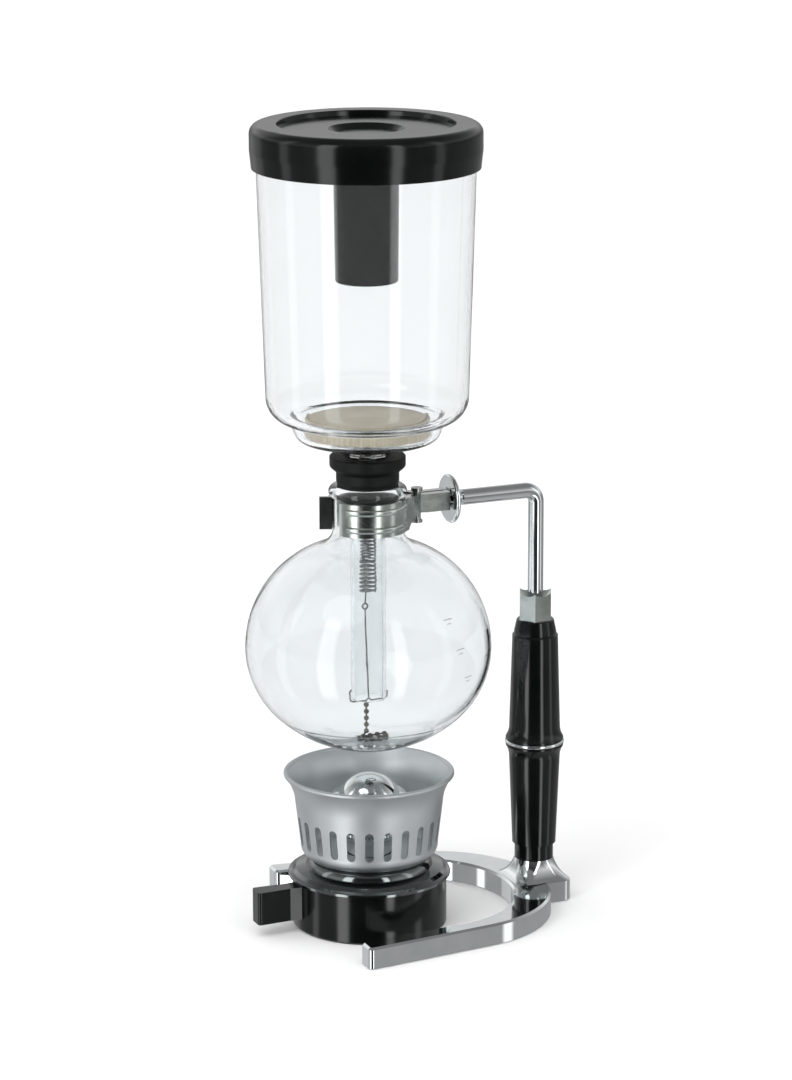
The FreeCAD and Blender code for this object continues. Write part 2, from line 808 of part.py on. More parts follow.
def make_clamp():
    make_jaw("clamp_front_jaw", "front")
    rear = make_jaw("clamp_rear_jaw", "rear")
    inner, outer = dim.jaw_bore_radius, dim.jaw_bore_radius + dim.jaw_thickness
    end_cos, end_sin = cosine(dim.jaw_end_angle), sine(dim.jaw_end_angle)
    reach = outer + dim.lug_reach
    depth = dim.jaw_thickness
    lug = [
        line(-inner * end_cos, inner * end_sin),
        line(-inner * end_cos + depth * end_sin, inner * end_sin + depth * end_cos),
        line(-reach * end_cos + depth * end_sin, reach * end_sin + depth * end_cos),
        line(-reach * end_cos, reach * end_sin),
    ]
    add(rear, "Pad", outline(rear, "XY_Plane", lug, "Lug"), "LugPad", dim.jaw_height)
    volume_after(rear, "lug", cuts=False)

    pin_foot = dim.jaw_foot_height + 1
    turned(
        "clamp_pin",
        [
            line(0, 0),
            line(2.7, 0),
            line(2.7, 1.2),
            line(dim.pin_radius, 1.2),
            line(dim.pin_radius, 14.9),
            line(2.7, 14.9),
            line(2.7, 16.4),
            line(0, 16.4),
        ],
        x=dim.pin_offset,
        z=pin_foot,
    )

    # Turned pieces on the arm: their own Z runs from the arm's end towards the clamp.
    along = (FreeCAD.Vector(0, 1, 0), -90)
    stud_root = 2.9
    turned(
        "arm_stud",
        [
            line(0, 0),
            line(stud_root, 0),
            line(stud_root, 0.7),
            line(stud_root + 0.5, 1.1),
            line(stud_root, 1.5),
            line(stud_root, 1.9),
            line(stud_root + 0.5, 2.3),
            line(stud_root, 2.7),
            line(stud_root, 3.2),
            line(dim.stud_radius, 3.2),
            line(dim.stud_radius, 18.4),
            line(0, 18.4),
        ],
        x=dim.rod_end,
        z=dim.arm_height,
        turn=along,
    )
    rim = dim.disc_thickness / 2
    bore = dim.stud_radius + 0.05
    turned(
        "lock_nut",
        [
            line(bore, 0),
            line(4.6, 0),
            line(4.6, 0.9),
            line(dim.disc_radius - rim, 0.9),
            left(dim.disc_radius, rim + 0.9, rim),
            left(dim.disc_radius - rim, rim + rim + 0.9, rim),
            line(4.4, rim + rim + 0.5),
            line(bore, rim + rim + 0.5),
        ],
        x=dim.disc_offset + dim.disc_thickness + 0.9,
        z=dim.arm_height,
        turn=along,
    )


# ---------------------------------------------------------------- rod, collar and handle


def make_post():
    rod = new_body("support_rod", x=dim.post_offset, z=dim.rod_foot_height)
    height = dim.arm_height - dim.rod_foot_height
    reach = dim.post_offset - dim.rod_end
    path = new_sketch(rod, "XZ_Plane", "Path")
    bend = dim.rod_bend
    corner_z = FreeCAD.Vector(0, (height - bend).value, 0)
    corner_x = FreeCAD.Vector(-bend.value, height.value, 0)
    upright = path.addGeometry(Part.LineSegment(FreeCAD.Vector(0, 0, 0), corner_z), False)
    turn = path.addGeometry(arc_geometry(corner_z, corner_x, bend.value, "left"), False)
    arm_end = FreeCAD.Vector(-reach.value, height.value, 0)
    arm = path.addGeometry(Part.LineSegment(corner_x, arm_end), False)
    limits = [(Sketcher.Constraint("Coincident", upright, 1, -1, 1), None)]
    limits.append((Sketcher.Constraint("Radius", turn, bend.value), bend))
    limits += point_at(upright, 2, 0, height - bend)
    limits += point_at(turn, 2, -bend, height)
    limits += point_at(arm, 2, -reach, height)
    limits.append((Sketcher.Constraint("Coincident", upright, 2, turn, 1), None))
    limits.append((Sketcher.Constraint("Coincident", turn, 2, arm, 1), None))
    constrain(path, limits)
    section = circles(rod, "XY_Plane", [(0, 0, dim.rod_radius)], "Section")
    pipe = rod.newObject("PartDesign::AdditivePipe", "Bent")
    pipe.Profile = section
    pipe.Spine = path
    volume_after(rod, "pipe", cuts=False)

    collar = new_body("handle_collar", x=dim.post_offset, z=dim.grip_top_height,
                      turn=(FreeCAD.Vector(0, 0, 1), 5))
    add(collar, "Pad", outline(collar, "XY_Plane", hexagon(dim.collar_corner_radius), "Hex"),
        "Prism", dim.collar_height)
    volume_after(collar, "prism", cuts=False)
    bore = circles(collar, "XY_Plane", [(0, 0, dim.rod_hole_radius)], "Bore")
    cut(collar, bore, "CutBore", dim.collar_height, Reversed=True)
    floor = dim.collar_height - dim.collar_dish_depth
    dish = [
        line(dim.rod_hole_radius - 1, floor),
        line(dim.rod_hole_radius + 1.5, floor),
        line(dim.collar_corner_radius + 0.4, dim.collar_height + 0.5),
        line(dim.rod_hole_radius - 1, dim.collar_height + 0.5),
    ]
    turn_about(collar, outline(collar, "XZ_Plane", dish, "Dish"), "CutDish", "Groove")
    volume_after(collar, "dish", cuts=True)

    hole = dim.rod_hole_radius
    top = dim.grip_top_height - dim.grip_ring_height - dim.grip_ring_thickness
    shoulder = top - dim.grip_cap_height
    flare = dim.grip_flare_radius
    upper = turned(
        "handle_upper_grip",
        [
            line(hole, 0),
            line(flare, 0),
            line(flare, 1),
            right(dim.grip_radius, dim.grip_flare_height + 1, sized(10)),
            line(dim.grip_shoulder_radius, shoulder - 0.4),
            line(dim.grip_cap_radius, shoulder + 0.4),
            line(dim.grip_cap_radius, shoulder + 1.4),
            line(dim.grip_cap_top_radius, top),
            line(hole, top),
        ],
        x=dim.post_offset,
        z=dim.grip_ring_height + dim.grip_ring_thickness,
    )
    round_rims(upper, [(dim.grip_cap_top_radius, top)], sized(0.8))

    rim = dim.grip_ring_thickness / 2
    ring = dim.grip_ring_radius - rim
    turned(
        "handle_ring",
        [
            line(hole, 0),
            line(ring, 0),
            left(dim.grip_ring_radius, rim, rim),
            left(ring, dim.grip_ring_thickness, rim),
            line(hole, dim.grip_ring_thickness),
        ],
        x=dim.post_offset,
        z=dim.grip_ring_height,
    )

    top = dim.grip_ring_height - dim.flare_height
    foot = dim.foot_collar_height
    lower = turned(
        "handle_lower_grip",
        [
            line(hole, 0),
            line(dim.foot_collar_radius, 0),
            line(dim.foot_collar_radius, foot),
            line(dim.grip_foot_radius, foot + 0.6),
            line(dim.grip_radius, top - dim.grip_flare_height - 1),
            right(flare, top - 1, sized(10)),
            line(flare, top),
            line(hole, top),
        ],
        x=dim.post_offset,
        z=dim.flare_height,
    )
    round_rims(lower, [(dim.foot_collar_radius, 0)], sized(0.5))


# ---------------------------------------------------------------- base


def make_base():
    body = new_body("base_frame", z=dim.base_lift)
    outer, inner = dim.base_outer_round, dim.base_inner_round
    outer_x, inner_x = dim.base_outer_centre, dim.base_inner_centre
    tip = -dim.leg_tip_offset

    def leg_side(centre, radius, flare):
        """Where a leg's side leaves its arc as a tangent, and its half width at the tip."""
        x, y = centre + radius * sine(flare), radius * cosine(flare)
        return x, y, y + (x - tip) * sine(flare) / cosine(flare)

    outer_start, outer_side, outer_tip = leg_side(outer_x, outer, dim.leg_outer_flare)
    inner_start, inner_side, inner_tip = leg_side(inner_x, inner, dim.leg_inner_flare)
    plan = [
        line(outer_start, -outer_side),
        left(outer_x + outer, 0, outer),
        left(outer_start, outer_side, outer),
        line(tip, outer_tip),
        line(tip, inner_tip),
        line(inner_start, inner_side),
        right(inner_x + inner, 0, inner),
        right(inner_start, -inner_side, inner),
        line(tip, -inner_tip),
        line(tip, -outer_tip),
    ]
    bar = dim.base_height - dim.base_lift
    add(body, "Pad", outline(body, "XY_Plane", plan, "Horseshoe"), "Bar", bar)
    volume_after(body, "bar", cuts=False)
    tips = []
    for index, edge in enumerate(body.Tip.Shape.Edges, 1):
        box = edge.BoundBox
        if abs(box.XMin - tip.value) < 0.01 and box.XLength < 0.01 and box.ZLength > 1:
            tips.append(f"Edge{index}")
    dress(body, tips, dim.tip_round)
    edges = []
    for index, edge in enumerate(body.Tip.Shape.Edges, 1):
        box = edge.BoundBox
        if box.ZLength < 0.01 and abs(box.ZMin - bar.value) < 0.01:
            edges.append(f"Edge{index}")
    dress(body, edges, dim.base_bevel, "Chamfer")

    # The foot under the post: a square block that flares up into a round seat.
    half = dim.foot_half_width
    post = dim.post_offset

    def moved(steps):
        return [(kind, x + post, y, radius) for kind, x, y, radius in steps]

    block = outline(body, "XY_Plane", moved(rounded_square(half, dim.foot_round)), "Foot")
    add(body, "Pad", block, "FootBlock", bar - 0.4)
    volume_after(body, "foot", cuts=False)
    round_top = dim.flare_radius - 0.1
    levels = [
        (bar - 0.4, half, dim.foot_round),
        (bar + 3.2, dim.flare_waist, sized(7)),
        (dim.flare_height - dim.base_lift, dim.flare_radius, round_top),
    ]
    sections = []
    for number, (level, width, corner) in enumerate(levels):
        steps = moved(rounded_square(width, corner))
        sketch = outline(body, "XY_Plane", steps, f"Flare{number}")
        bind(sketch, "AttachmentOffset.Base.z", level)
        sections.append(sketch)
    loft = body.newObject("PartDesign::AdditiveLoft", "Flare")
    loft.Profile = sections[0]
    loft.Sections = sections[1:]
    volume_after(body, "flare", cuts=False)

    hole = circles(body, "XY_Plane", [(post, 0, dim.rod_hole_radius)], "RodHole")
    cut(body, hole, "CutRodHole", Type=1, Reversed=True)
    recess = circles(body, "XY_Plane", [(post, 0, dim.nut_radius + 1)], "NutRecess")
    cut(body, recess, "CutNutRecess", dim.nut_thickness + 1.8, Reversed=True)

    # Four rubber pads sit in shallow recesses: one by each tip and two by the rear arc.
    tip_pad_x = tip + 9
    tip_pad_y = (outer_tip + inner_tip) / 2 - 0.9
    rear_pad_x = outer_x + outer * 0.7
    spots = [(tip_pad_x, tip_pad_y), (tip_pad_x, -tip_pad_y)]
    spots += [(rear_pad_x, outer * 0.55), (rear_pad_x, outer * -0.55)]
    radius = dim.pad_radius
    recesses = circles(body, "XY_Plane", [(x, y, radius + 0.1) for x, y in spots], "PadSeats")
    cut(body, recesses, "CutPadSeats", dim.pad_thickness - dim.base_lift, Reversed=True)

    pads = []
    for number, (x, y) in enumerate(spots):
        pad = doc.addObject("Part::Cylinder", f"Pad{number}")
        bind(pad, "Radius", radius)
        bind(pad, "Height", dim.pad_thickness)
        place(pad, x=x, y=y)
        pads.append(pad)
    group = doc.addObject("Part::Compound", "base_pads")
    group.Label = "base_pads"
    group.Links = pads
    parts.append(group)

    nut = new_body("base_nut", x=post, z=dim.base_lift + 1.8)
    add(nut, "Pad", outline(nut, "XY_Plane", hexagon(dim.nut_radius), "Hex"), "Prism",
        dim.nut_thickness)
    volume_after(nut, "nut", cuts=False)
    bore = circles(nut, "XY_Plane", [(0, 0, dim.rod_hole_radius)], "Bore")
    cut(nut, bore, "CutBore", Type=1, Reversed=True)


# ---------------------------------------------------------------- burner


def make_burner():
    wall = dim.housing_wall
    housing = turned(
        "burner_housing",
        [
            line(0, 0),
            line(dim.housing_radius - 1, 0),
            line(dim.housing_radius, 1),
            line(dim.housing_radius, dim.housing_height),
            line(dim.housing_radius - wall, dim.housing_height),
            line(dim.housing_radius - wall, wall),
            line(0, wall),
        ],
    )
    half = dim.handle_width / 2
    inner = -(dim.housing_radius - wall / 2)
    end = -dim.handle_reach
    neck = dim.handle_width * 0.42
    steps = [
        line(inner, -half),
        line(inner, half),
        line(end * 0.72, neck),
        line(end + 1.5, half),
        left(end, half - 1.5, sized(1.5)),
        line(end, 1.5 - half),
        left(end + 1.5, -half, sized(1.5)),
        line(end * 0.72, -neck),
    ]
    sketch = outline(housing, "XY_Plane", steps, "Handle")
    bind(sketch, "AttachmentOffset.Base.z", dim.handle_foot)
    add(housing, "Pad", sketch, "HandlePad", dim.handle_top - dim.handle_foot)
    volume_after(housing, "handle", cuts=False)

    sheet_metal = dim.cover_thickness
    rim, step, top = dim.cover_radius, dim.cover_step_radius, dim.cover_top_radius
    rise = dim.cover_height
    round_ = top * 0.16
    cover = turned(
        "burner_cover",
        [
            line(dim.wick_hole_radius, rise - sheet_metal),
            line(top - round_, rise - sheet_metal),
            right(top - sheet_metal, rise - sheet_metal - round_, round_ + 1),
            line(step - sheet_metal - 2, 3.2 - sheet_metal),
            line(step - sheet_metal, 2.4 - sheet_metal),
            line(step - sheet_metal, 0),
            line(rim, 0),
            line(rim, 1.2),
            line(step + 1, 2.0),
            line(step - 0.6, 3.4),
            line(top + 0.2, rise - round_),
            left(top - round_, rise, round_ + 1.4),
            line(dim.wick_hole_radius, rise),
        ],
        z=dim.housing_height,
    )
    round_rims(cover, [(rim, 1.2)], sized(0.5))

    radius, skin = dim.tank_radius, dim.tank_wall
    turned(
        "fuel_tank",
        [
            line(0, 0),
            line(radius, 0),
            line(radius, dim.tank_height),
            line(dim.holder_radius + 0.1, dim.tank_height),
            line(dim.holder_radius + 0.1, dim.tank_height - skin),
            line(radius - skin, dim.tank_height - skin),
            line(radius - skin, skin),
            line(0, skin),
        ],
        z=dim.tank_foot_height,
    )

    foot = dim.holder_foot_height
    collar = dim.holder_collar_height - foot
    length = dim.holder_top_height - foot
    holder = dim.holder_radius
    seat = dim.tank_foot_height + dim.tank_height - foot
    turned(
        "wick_holder",
        [
            line(dim.holder_bore_radius, 0),
            line(holder, 0),
            line(holder, seat),
            line(dim.holder_flange_radius, seat),
            line(dim.holder_flange_radius, seat + dim.holder_flange_thickness),
            line(holder, seat + dim.holder_flange_thickness),
            line(holder, collar - 3),
            line(dim.holder_collar_radius, collar - 2),
            line(dim.holder_collar_radius, collar),
            line(holder, collar),
            line(holder, length - 1),
            line(holder - 1, length),
            line(dim.holder_bore_radius, length),
        ],
        z=foot,
    )
    wick = turned(
        "wick",
        [
            line(0, 0),
            line(dim.wick_radius, 0),
            line(dim.wick_radius, dim.wick_top_height - dim.wick_foot_height),
            line(0, dim.wick_top_height - dim.wick_foot_height),
        ],
        z=dim.wick_foot_height,
    )
    crown = (dim.wick_radius, dim.wick_top_height - dim.wick_foot_height)
    round_rims(wick, [crown], sized(1.6))
    make_windshield()
    make_snuffer_cap()


def make_windshield():
    skin = dim.shield_wall
    low, waist, rim = dim.shield_low_radius, dim.shield_waist_radius, dim.shield_rim_radius
    bead = dim.shield_bead
    shield = turned(
        "windshield",
        [
            line(dim.wick_hole_radius, 0),
            line(dim.shield_foot_radius, 0),
            left(low, dim.shield_low_height, dim.shield_corner + 3),
            line(waist, dim.shield_waist_height),
            right(rim, dim.shield_rim_height, sized(24)),
            left(rim, dim.shield_rim_height + bead * 2, bead + 0.02),
            left(rim - bead, dim.shield_rim_height + bead, bead + 0.02),
            left(waist - skin, dim.shield_waist_height + 0.4, sized(25)),
            line(low - skin, dim.shield_low_height + 0.3),
            right(dim.shield_foot_radius, skin, dim.shield_corner + 2.2),
            line(dim.wick_hole_radius, skin),
        ],
        z=dim.shield_foot_height,
        turn=(FreeCAD.Vector(0, 0, 1), dim.slot_turn.value),
    )
    half = dim.slot_width / 2
    foot = dim.slot_foot
    top = foot + dim.slot_length
    slot = [
        line(-half, foot + half),
        left(0, foot, half),
        left(half, foot + half, half),
        line(half, top - half),
        left(0, top, half),
        left(-half, top - half, half),
    ]
    sketch = outline(shield, "YZ_Plane", slot, "Slot")
    pocket = cut(shield, sketch, "CutSlot", rim, Reversed=True)
    repeat_round(shield, pocket, dim.slot_count)


def make_snuffer_cap():
    foot = dim.holder_collar_height + 0.05
    skirt, dome = dim.cap_skirt_radius, dim.cap_radius
    skin = dim.cap_wall
    flange = dim.cap_flange_height - foot
    top = dim.cap_top_height - foot
    rise = top - flange - 1
    big = (dome * dome + rise * rise) / (rise * 2)
    inner_rise = rise - skin
    inner = dome - skin
    inner_big = (inner * inner + inner_rise * inner_rise) / (inner_rise * 2)
    turned(
        "snuffer_cap",
        [
            line(skirt - skin, 0),
            line(skirt, 0),
            line(skirt, flange - 0.8),
            line(dim.cap_flange_radius - 0.8, flange - 0.8),
            left(dim.cap_flange_radius, flange, sized(0.81)),
            left(dim.cap_flange_radius - 0.8, flange + 0.8, sized(0.81)),
            line(dome, flange + 1),
            left(0, top, big),
            line(0, top - skin),
            right(inner, flange + 1, inner_big),
            line(skirt - skin, flange),
        ],
        z=foot,
    )


# ---------------------------------------------------------------- filter


def make_filter():
    thick, skin = dim.filter_thickness, dim.cloth_thickness
    radius, corner = dim.filter_radius, dim.cloth_round
    inner = radius - skin
    inner_corner = corner - skin
    opening = dim.cloth_opening_radius
    turned(
        "filter_cloth",
        [
            line(opening, 0),
            line(radius - corner, 0),
            left(radius, corner, corner),
            line(radius, thick - corner),
            left(radius - corner, thick, corner),
            line(0, thick),
            line(0, thick - skin),
            line(inner - inner_corner, thick - skin),
            right(inner, thick - skin - inner_corner, inner_corner),
            line(inner, skin + inner_corner),
            right(inner - inner_corner, skin, inner_corner),
            line(opening, skin),
        ],
        z=dim.filter_foot_height,
    )
    low = dim.filter_foot_height + skin + 0.1
    high = dim.filter_foot_height + thick - skin - 0.1 - dim.plate_thickness
    hole = dim.bolt_radius + 0.05
    for label, height in (("filter_lower_plate", low), ("filter_upper_plate", high)):
        plate = turned(label, rectangle(hole, dim.plate_radius, 0, dim.plate_thickness), z=height)
        ring = [(dim.plate_hole_circle, 0, dim.plate_hole_radius)]
        pocket = cut(plate, circles(plate, "XY_Plane", ring), "CutHole", dim.plate_thickness,
                     Reversed=True)
        repeat_round(plate, pocket, dim.plate_hole_count)

    # The bolt hangs from the upper plate; its head clamps there and the spring hooks its end.
    length = dim.bolt_length
    turned(
        "filter_bolt",
        [
            line(0, 0),
            line(1.0, 0),
            line(dim.bolt_radius, 0.6),
            line(dim.bolt_radius, length - dim.plate_thickness - 2.2),
            line(dim.bolt_head_radius, length - dim.plate_thickness - 2.2),
            line(dim.bolt_head_radius, length - dim.plate_thickness),
            line(dim.bolt_radius, length - dim.plate_thickness),
            line(dim.bolt_radius, length),
            line(0, length),
        ],
        z=high + dim.plate_thickness - length,
    )


def make_filter_gear():
    """The spring, pull wire, hook and bead chain that hold the filter down in its seat."""
    turns = dim.spring_turns.value
    pitch = dim.spring_pitch.value
    wire = dim.spring_wire.value
    coil = dim.spring_radius.value
    helix = Part.makeHelix(pitch, pitch * turns, coil)
    section = Part.Wire(
        Part.makeCircle(wire, FreeCAD.Vector(coil, 0, 0), FreeCAD.Vector(0, 1, 0))
    )
    spring = Part.Wire(helix).makePipeShell([section], True, True)
    freeform("filter_spring", spring, z=dim.spring_foot_height)

    vector = FreeCAD.Vector
    thin = dim.wire_radius.value
    spring_foot = dim.spring_foot_height.value
    stem_foot = dim.stem_foot_height.value
    # A hook through the spring's last turn ends in a ring, and a wire hangs from the ring.
    low = stem_foot - 1.2
    peak = low + 1.1
    ring = 1.3
    ring_height = spring_foot - 6.5
    points = [
        vector(0, 3.1, spring_foot - 0.2),
        vector(-0.6, 1.6, spring_foot - 2.4),
        vector(-1.6, 0, ring_height + ring),
    ]
    hook = bent_wire(points, thin)
    points = [
        vector(-1.6, 0, ring_height - ring),
        vector(-1.5, 0, ring_height - 12),
        vector(-0.9, 0, ring_height - 26),
        vector(0, 0, peak + thin * 2),
    ]
    eye = Part.makeTorus(ring, thin * 1.15, vector(-1.6, 0, ring_height), vector(0, 1, 0))
    freeform("filter_wire", hook.multiFuse([eye, bent_wire(points, thin)]).removeSplitter())

    # The cross hook spans the stem's open end and turns up outside both sides of the rim.
    rim = dim.stem_radius.value + 1.0
    points = [
        vector(-rim + 0.3, 0, stem_foot + 4.6),
        vector(-rim - 0.4, 0, stem_foot + 3.4),
        vector(-rim, 0, low + 0.6),
        vector(-rim + 1.4, 0, low),
        vector(-1.4, 0, low),
        vector(0, 0, peak),
        vector(1.4, 0, low),
        vector(rim - 1.2, 0, low),
        vector(rim, 0, low + 0.8),
        vector(rim + 0.2, 0, stem_foot + 2.2),
    ]
    freeform("filter_hook", bent_wire(points, thin))


def make_bead_chain(bowl_base, bowl_bottom):
    """Beads hang straight down from the hook's eye, then lie in a long loop on the bowl."""
    vector = FreeCAD.Vector
    bead = dim.bead_radius.value
    pitch = dim.bead_pitch.value
    centre = (bowl_base + bowl_bottom).value
    reach = (bowl_bottom - dim.bowl_wall).value - bead - 0.35

    def on_floor(point):
        """The bead position that lies just clear of the bowl's round bottom."""
        height = centre - math.sqrt(reach**2 - point.x**2 - point.y**2)
        return vector(point.x, point.y, height)

    top = dim.stem_foot_height.value - 3.4
    hook_side = -1.2
    floor = on_floor(vector(hook_side, 0, 0)).z
    hanging = int((top - floor - pitch * 0.6) / pitch)
    points = [vector(hook_side, 0, top + bead + 0.5)]
    points += [vector(hook_side, 0, top - pitch * k) for k in range(hanging + 1)]
    # The loop is a stadium, wider along X than along Y, that the last hanging bead joins.
    straight, end = 8.2, 2.5
    loop_length = 2 * straight + 2 * math.pi * end
    count = int(loop_length / pitch)
    step = loop_length / count
    for k in range(count):
        points.append(on_floor(stadium_point(k * step, straight, end) + vector(-1.8, 0, 0)))
    solids = [Part.makeSphere(bead, point) for point in points[1:]]
    for start, finish in zip(points, points[1:]):
        run = finish - start
        solids.append(Part.makeCylinder(dim.bead_link.value, run.Length, start, run))
    chain = solids[0].multiFuse(solids[1:])
    freeform("bead_chain", chain)


def stadium_point(travel, straight, end):
    """A point on a stadium outline, starting at its left end and going round clockwise."""
    half_turn = math.pi * end
    if travel < straight:
        return FreeCAD.Vector(travel, end, 0)
    travel -= straight
    if travel < half_turn:
        angle = math.pi / 2 - travel / end
        return FreeCAD.Vector(straight + end * math.cos(angle), end * math.sin(angle), 0)
    travel -= half_turn
    if travel < straight:
        return FreeCAD.Vector(straight - travel, -end, 0)
    angle = -math.pi / 2 - (travel - straight) / end
    return FreeCAD.Vector(end * math.cos(angle), end * math.sin(angle), 0)


# ---------------------------------------------------------------- build, check and write

make_lid()
make_upper_chamber()
bowl_base, bowl_bottom = make_lower_bowl()
make_clamp()
make_post()
make_base()
make_burner()
make_filter()
make_filter_gear()
make_bead_chain(bowl_base, bowl_bottom)
doc.recompute()

for thing in doc.Objects:
    if {"Invalid", "Error"} & set(thing.State):
        raise RuntimeError(f"{thing.Label} failed: {thing.State}")
for part in parts:
    if part.Shape.isNull() or not part.Shape.isValid():
        raise RuntimeError(f"{part.Label} has no valid shape")

os.makedirs("parts", exist_ok=True)
for part in parts:
    part.Shape.exportStep(f"parts/{part.Label}.step")
    box = part.Shape.BoundBox
    print(f"{part.Label:22s} {len(part.Shape.Solids)} solid, {part.Shape.Volume:10.1f} mm3, "
          f"z {box.ZMin:7.2f} to {box.ZMax:7.2f}, x {box.XMin:7.2f} to {box.XMax:7.2f}")
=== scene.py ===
import math
import random

import bmesh
import bpy
from mathutils import Matrix, Vector
from mathutils.bvhtree import BVHTree


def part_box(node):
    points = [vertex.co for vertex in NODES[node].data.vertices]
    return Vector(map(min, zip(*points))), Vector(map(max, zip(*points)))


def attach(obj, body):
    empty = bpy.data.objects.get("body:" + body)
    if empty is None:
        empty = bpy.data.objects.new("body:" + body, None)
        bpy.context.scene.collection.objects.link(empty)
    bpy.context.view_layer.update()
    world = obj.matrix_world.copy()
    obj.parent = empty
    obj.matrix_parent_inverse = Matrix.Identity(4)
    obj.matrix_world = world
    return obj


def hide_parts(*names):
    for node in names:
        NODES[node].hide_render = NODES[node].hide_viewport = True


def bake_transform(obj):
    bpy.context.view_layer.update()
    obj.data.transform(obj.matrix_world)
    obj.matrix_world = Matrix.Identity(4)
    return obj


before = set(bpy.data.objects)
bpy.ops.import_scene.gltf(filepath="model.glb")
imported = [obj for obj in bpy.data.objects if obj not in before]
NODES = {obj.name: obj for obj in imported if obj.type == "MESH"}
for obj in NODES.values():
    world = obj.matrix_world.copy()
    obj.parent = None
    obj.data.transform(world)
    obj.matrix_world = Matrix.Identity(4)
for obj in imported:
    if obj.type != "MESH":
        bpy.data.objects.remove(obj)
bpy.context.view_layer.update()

# Looks for the siphon coffee maker. Everything is in metres in the row frame: +Z up along the
# chambers' common axis, +X towards the handle post.

MM = 0.001
SEED = 7

# The camera, which looks at the object from the front left of the row frame.
CAMERA_AZIMUTH = -22.6
CAMERA_DISTANCE = 1.764
CAMERA_HEIGHT = 0.638
CAMERA_PITCH = 14.41
CAMERA_YAW = 0.42
CAMERA_ROLL = -0.15
CAMERA_LENS = 131.8

# The studio. Levels are radiance, where the white floor is about 1, and angles are in degrees.
FLOOR_RADIUS = 14
CEILING_STRENGTH = 2.4
CEILING_SPREAD = 100
CEILING_TILT = (8, -12)
# The key light's place round the object, from the camera's side, and its size, power and target.
KEY_TURN = -35
KEY_DISTANCE = 1.1
KEY_HEIGHT = 1.5
KEY_SIZE = 1.2
KEY_POWER = 6
KEY_TARGET_HEIGHT = 0.2
# The backdrop's level behind the object falls to a share of itself at the sides. The fade is
# given as full and zero white, degrees from straight behind.
BACKDROP_LEVEL = 1.0
BACKDROP_FADE = (24, 62)
BACKDROP_SIDES = 0.22
# (height of a direction, straight down 0 to straight up 1, and its level)
ROOM_LEVELS = ((0.0, 0.45), (0.25, 0.42), (0.38, 0.30), (0.50, 0.26), (0.56, 0.52), (0.62, 0.85),
               (0.74, 0.50), (0.88, 0.22), (1.0, 0.20))
# (degrees round from the camera's side, half width, level)
SOFTBOXES = ((-40, 8, 3.2), (31, 5, 3.2), (-88, 5, 1.0), (78, 5, 0.9), (-140, 14, 0.25))
# How far inside and outside its half width a softbox's edge fades.
SOFTBOX_EDGE = (2, 3)
# The softboxes and the dark end fade out towards the ceiling and the floor: a direction's z.
UPRIGHT_FADE = (0.55, 0.75)
# The unlit end of the room behind the camera: full and zero darkness, degrees round from it.
DARK_END = (20, 58)
DARK_SHARE = 0.9

# The bowl's level marks: (name, height in millimetres, degrees on from the first), to the
# right of the camera's side.
MARKS_TURN = 44
LEVEL_MARKS = (("upper", 157, 0), ("middle", 143, 4), ("lower", 129, 9))


# ---------------------------------------------------------------- procedural materials


